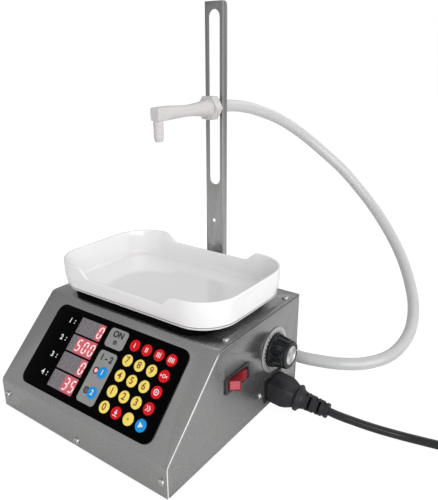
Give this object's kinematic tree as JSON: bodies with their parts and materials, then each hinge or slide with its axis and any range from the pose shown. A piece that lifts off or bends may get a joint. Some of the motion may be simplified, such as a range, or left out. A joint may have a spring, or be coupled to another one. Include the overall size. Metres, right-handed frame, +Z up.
{
  "type": "peristaltic liquid filling machine",
  "caption": "Bench-top liquid filler: sloped keypad case with a peristaltic pump, white weighing tray, slotted upright bar with a height-adjustable nozzle, hose and mains lead.",
  "frame": {"origin": "bottom centre of the machine's bounding box at the feet's level, without its hose and mains lead", "axes": "+X to the right of a person facing the key panel, +Y to the back, +Z up"},
  "size_m": [0.4254, 0.3454, 0.3355],
  "materials": {
    "case_steel": "smooth grey paint on steel sheet",
    "bar_steel": "brushed along its length",
    "foot_rubber": "matt",
    "black_plastic": "fine grain",
    "knob_black": "semi-gloss with a silver cap",
    "aluminium": "satin",
    "motor_steel": "satin",
    "dial_plate": "brushed, printed with a ring of black ticks",
    "overlay_film": "black printed film",
    "circuit_board": "green solder mask",
    "pump_plastic": "grey moulding",
    "silicone": "translucent",
    "nylon": "off-white moulding",
    "cord_rubber": "smooth black moulding",
    "tray_white": "glossy white moulding",
    "rocker_red": "glossy red moulding",
    "key_red": "glossy dome",
    "key_yellow": "glossy dome",
    "key_blue": "glossy dome"
  },
  "bodies": {
    "base": {"cover": "case_steel", "chassis": "case_steel", "rear_panel": "case_steel", "foot_front_left": "foot_rubber", "foot_front_right": "foot_rubber", "foot_rear_left": "foot_rubber", "foot_rear_right": "foot_rubber", "tray_support": "black_plastic", "load_cell": "aluminium", "upright_bar": "bar_steel", "panel_overlay": "overlay_film", "display_board": "circuit_board", "dial_plate": "dial_plate", "potentiometer": "aluminium", "switch_housing": "black_plastic", "mains_inlet": "black_plastic", "power_supply": "aluminium", "control_board": "circuit_board", "pump_motor": "motor_steel", "pump_housing": "pump_plastic", "pump_cover": "pump_plastic", "pump_tube": "silicone", "outlet_barb": "nylon", "inlet_barb": "nylon", "delivery_hose": "silicone", "cord_connector": "cord_rubber", "mains_cord": "cord_rubber", "cord_coil": "cord_rubber", "mains_plug": "cord_rubber"},
    "tray": {"tray": "tray_white"},
    "nozzle": {"nozzle_elbow": "nylon"},
    "lock_nut": {"nozzle_lock_nut": "nylon"},
    "rocker": {"switch_rocker": "rocker_red"},
    "knob": {"speed_knob": "knob_black"},
    "rotor": {"pump_rotor": "pump_plastic"},
    "roller_1": {"pump_roller_1": "nylon"},
    "roller_2": {"pump_roller_2": "nylon"},
    "roller_3": {"pump_roller_3": "nylon"},
    "key_zero": {"key_zero": "key_yellow"},
    "key_save": {"key_save": "key_red"},
    "key_point": {"key_point": "key_yellow"},
    "key_run": {"key_run": "key_blue"},
    "key_one": {"key_one": "key_yellow"},
    "key_two": {"key_two": "key_yellow"},
    "key_three": {"key_three": "key_yellow"},
    "key_trigger": {"key_trigger": "key_red"},
    "key_four": {"key_four": "key_yellow"},
    "key_five": {"key_five": "key_yellow"},
    "key_six": {"key_six": "key_yellow"},
    "key_set": {"key_set": "key_red"},
    "key_seven": {"key_seven": "key_yellow"},
    "key_eight": {"key_eight": "key_yellow"},
    "key_nine": {"key_nine": "key_yellow"},
    "key_tare": {"key_tare": "key_red"},
    "key_memory_one": {"key_memory_one": "key_red"},
    "key_memory_two": {"key_memory_two": "key_red"},
    "key_memory_three": {"key_memory_three": "key_red"},
    "key_memory_four": {"key_memory_four": "key_red"},
    "key_auto": {"key_auto": "key_blue"},
    "key_manual": {"key_manual": "key_blue"}
  },
  "joints": [
    {"name": "nozzle_height", "type": "slide", "parent": "base", "child": "nozzle", "axis": [0, 0, 1], "range_m": [-0.063, 0.074], "deforming": ["delivery_hose"]},
    {"name": "lock_nut_turn", "type": "hinge", "parent": "nozzle", "child": "lock_nut", "pos_m": [-0.00855, 0.08805, 0.2487], "axis": [0, 1, 0], "range_deg": [0, 180]},
    {"name": "tray_lift", "type": "slide", "parent": "base", "child": "tray", "axis": [0, 0, 1], "range_m": [0, 0.04]},
    {"name": "switch_rock", "type": "hinge", "parent": "base", "child": "rocker", "pos_m": [0.08625, -0.01635, 0.0563], "axis": [0, 0, 1], "range_deg": [-34, 0]},
    {"name": "speed_turn", "type": "hinge", "parent": "base", "child": "knob", "pos_m": [0.09545, 0.04045, 0.0548], "axis": [1, 0, 0], "range_deg": [-150, 150]},
    {"name": "pump_spin", "type": "hinge", "parent": "base", "child": "rotor", "pos_m": [-0.06055, 0.04945, 0.044], "axis": [0, 1, 0], "continuous": true},
    {"name": "roller_1_spin", "type": "hinge", "parent": "rotor", "child": "roller_1", "pos_m": [-0.06055, 0.04945, 0.0567], "axis": [0, 1, 0], "continuous": true},
    {"name": "roller_2_spin", "type": "hinge", "parent": "rotor", "child": "roller_2", "pos_m": [-0.07155, 0.04945, 0.03765], "axis": [0, 1, 0], "continuous": true},
    {"name": "roller_3_spin", "type": "hinge", "parent": "rotor", "child": "roller_3", "pos_m": [-0.04955, 0.04945, 0.03765], "axis": [0, 1, 0], "continuous": true},
    {"name": "key_zero_press", "type": "slide", "parent": "base", "child": "key_zero", "axis": [0, 0.7071, -0.7071], "range_m": [0, 0.00045], "stiffness_N_per_m": 800, "springref_m": -0.0005},
    {"name": "key_save_press", "type": "slide", "parent": "base", "child": "key_save", "axis": [0, 0.7071, -0.7071], "range_m": [0, 0.00045], "stiffness_N_per_m": 800, "springref_m": -0.0005},
    {"name": "key_point_press", "type": "slide", "parent": "base", "child": "key_point", "axis": [0, 0.7071, -0.7071], "range_m": [0, 0.00045], "stiffness_N_per_m": 800, "springref_m": -0.0005},
    {"name": "key_run_press", "type": "slide", "parent": "base", "child": "key_run", "axis": [0, 0.7071, -0.7071], "range_m": [0, 0.00045], "stiffness_N_per_m": 800, "springref_m": -0.0005},
    {"name": "key_one_press", "type": "slide", "parent": "base", "child": "key_one", "axis": [0, 0.7071, -0.7071], "range_m": [0, 0.00045], "stiffness_N_per_m": 800, "springref_m": -0.0005},
    {"name": "key_two_press", "type": "slide", "parent": "base", "child": "key_two", "axis": [0, 0.7071, -0.7071], "range_m": [0, 0.00045], "stiffness_N_per_m": 800, "springref_m": -0.0005},
    {"name": "key_three_press", "type": "slide", "parent": "base", "child": "key_three", "axis": [0, 0.7071, -0.7071], "range_m": [0, 0.00045], "stiffness_N_per_m": 800, "springref_m": -0.0005},
    {"name": "key_trigger_press", "type": "slide", "parent": "base", "child": "key_trigger", "axis": [0, 0.7071, -0.7071], "range_m": [0, 0.00045], "stiffness_N_per_m": 800, "springref_m": -0.0005},
    {"name": "key_four_press", "type": "slide", "parent": "base", "child": "key_four", "axis": [0, 0.7071, -0.7071], "range_m": [0, 0.00045], "stiffness_N_per_m": 800, "springref_m": -0.0005},
    {"name": "key_five_press", "type": "slide", "parent": "base", "child": "key_five", "axis": [0, 0.7071, -0.7071], "range_m": [0, 0.00045], "stiffness_N_per_m": 800, "springref_m": -0.0005},
    {"name": "key_six_press", "type": "slide", "parent": "base", "child": "key_six", "axis": [0, 0.7071, -0.7071], "range_m": [0, 0.00045], "stiffness_N_per_m": 800, "springref_m": -0.0005},
    {"name": "key_set_press", "type": "slide", "parent": "base", "child": "key_set", "axis": [0, 0.7071, -0.7071], "range_m": [0, 0.00045], "stiffness_N_per_m": 800, "springref_m": -0.0005},
    {"name": "key_seven_press", "type": "slide", "parent": "base", "child": "key_seven", "axis": [0, 0.7071, -0.7071], "range_m": [0, 0.00045], "stiffness_N_per_m": 800, "springref_m": -0.0005},
    {"name": "key_eight_press", "type": "slide", "parent": "base", "child": "key_eight", "axis": [0, 0.7071, -0.7071], "range_m": [0, 0.00045], "stiffness_N_per_m": 800, "springref_m": -0.0005},
    {"name": "key_nine_press", "type": "slide", "parent": "base", "child": "key_nine", "axis": [0, 0.7071, -0.7071], "range_m": [0, 0.00045], "stiffness_N_per_m": 800, "springref_m": -0.0005},
    {"name": "key_tare_press", "type": "slide", "parent": "base", "child": "key_tare", "axis": [0, 0.7071, -0.7071], "range_m": [0, 0.00045], "stiffness_N_per_m": 800, "springref_m": -0.0005},
    {"name": "key_memory_one_press", "type": "slide", "parent": "base", "child": "key_memory_one", "axis": [0, 0.7071, -0.7071], "range_m": [0, 0.00045], "stiffness_N_per_m": 800, "springref_m": -0.0005},
    {"name": "key_memory_two_press", "type": "slide", "parent": "base", "child": "key_memory_two", "axis": [0, 0.7071, -0.7071], "range_m": [0, 0.00045], "stiffness_N_per_m": 800, "springref_m": -0.0005},
    {"name": "key_memory_three_press", "type": "slide", "parent": "base", "child": "key_memory_three", "axis": [0, 0.7071, -0.7071], "range_m": [0, 0.00045], "stiffness_N_per_m": 800, "springref_m": -0.0005},
    {"name": "key_memory_four_press", "type": "slide", "parent": "base", "child": "key_memory_four", "axis": [0, 0.7071, -0.7071], "range_m": [0, 0.00045], "stiffness_N_per_m": 800, "springref_m": -0.0005},
    {"name": "key_auto_press", "type": "slide", "parent": "base", "child": "key_auto", "axis": [0, 0.7071, -0.7071], "range_m": [0, 0.00045], "stiffness_N_per_m": 800, "springref_m": -0.0005},
    {"name": "key_manual_press", "type": "slide", "parent": "base", "child": "key_manual", "axis": [0, 0.7071, -0.7071], "range_m": [0, 0.00045], "stiffness_N_per_m": 800, "springref_m": -0.0005}
  ],
  "couplings": [
    {"joint": "roller_1_spin", "follows": "pump_spin", "ratio": -3.6},
    {"joint": "roller_2_spin", "follows": "pump_spin", "ratio": -3.6},
    {"joint": "roller_3_spin", "follows": "pump_spin", "ratio": -3.6}
  ]
}
